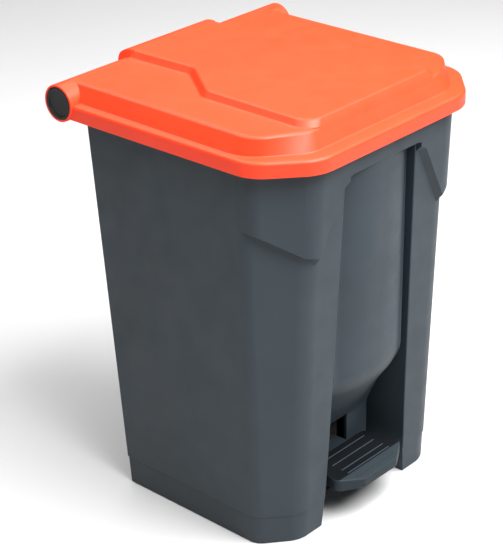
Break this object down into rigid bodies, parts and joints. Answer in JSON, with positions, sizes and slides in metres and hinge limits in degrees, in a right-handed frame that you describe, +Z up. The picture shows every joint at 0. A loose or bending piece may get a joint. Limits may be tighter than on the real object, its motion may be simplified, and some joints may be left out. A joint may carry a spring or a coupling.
{
  "type": "pedal waste bin",
  "caption": "Tall tapered waste bin with a stepped lid on a rear hinge tube, opened by a foot pedal in a recess between its front columns.",
  "frame": {"origin": "on the floor, at the middle of the closed bin's overall width and depth", "axes": "+Z up, the pedal side towards -Y, the bin's right-hand side as seen from the front towards +X"},
  "size_m": [0.501, 0.4823, 0.7065],
  "materials": {
    "slate_plastic": "moulded, fine grain",
    "orange_plastic": "moulded, satin",
    "pedal_plastic": "moulded, ribbed tread",
    "black_plastic": "moulded",
    "nylon": "natural, moulded",
    "zinc_steel": "zinc plated",
    "rubber": "black, matt"
  },
  "bodies": {
    "bin": {"bin_body": "slate_plastic", "hinge_rod": "zinc_steel", "rod_guide_lower": "nylon", "rod_guide_upper": "nylon", "rod_cover": "slate_plastic", "cover_screw_1": "zinc_steel", "cover_screw_2": "zinc_steel", "cover_screw_3": "zinc_steel", "cover_screw_4": "zinc_steel", "pivot_bracket": "zinc_steel", "bracket_screw_1": "zinc_steel", "bracket_screw_2": "zinc_steel", "bracket_screw_3": "zinc_steel", "bracket_screw_4": "zinc_steel", "pedal_axle": "zinc_steel", "axle_clip_left": "zinc_steel", "axle_clip_right": "zinc_steel", "foot_1": "rubber", "foot_2": "rubber", "foot_3": "rubber", "foot_4": "rubber", "lid_buffer_1": "rubber", "lid_buffer_2": "rubber", "lid_buffer_3": "rubber", "lid_buffer_4": "rubber"},
    "lid_set": {"lid": "orange_plastic", "hinge_cap_left": "black_plastic", "hinge_cap_right": "black_plastic", "hinge_bush_left": "nylon", "hinge_bush_right": "nylon", "lid_crank": "black_plastic", "crank_pin": "zinc_steel"},
    "pedal_set": {"pedal": "pedal_plastic", "pedal_lever": "zinc_steel", "lever_bush_left": "nylon", "lever_bush_right": "nylon", "pedal_screw_front": "zinc_steel", "pedal_screw_rear": "zinc_steel"},
    "rod_set": {"push_rod": "zinc_steel", "rod_shoe": "black_plastic"}
  },
  "joints": [
    {"name": "lid_hinge", "type": "hinge", "parent": "bin", "child": "lid_set", "pos_m": [0, 0.2083, 0.6647], "axis": [-1, 0, 0], "range_deg": [0, 75]},
    {"name": "pedal_pivot", "type": "hinge", "parent": "bin", "child": "pedal_set", "pos_m": [0, -0.0835, 0.052], "axis": [1, 0, 0], "range_deg": [0, 21.3]},
    {"name": "rod_slide", "type": "slide", "parent": "bin", "child": "rod_set", "axis": [0, 0.0459, 0.9989], "range_m": [0, 0.0793]}
  ],
  "couplings": [
    {"joint": "pedal_pivot", "follows": "lid_hinge", "ratio": 0.28267},
    {"joint": "rod_slide", "follows": "lid_hinge", "m_per_rad": 0.0604}
  ]
}
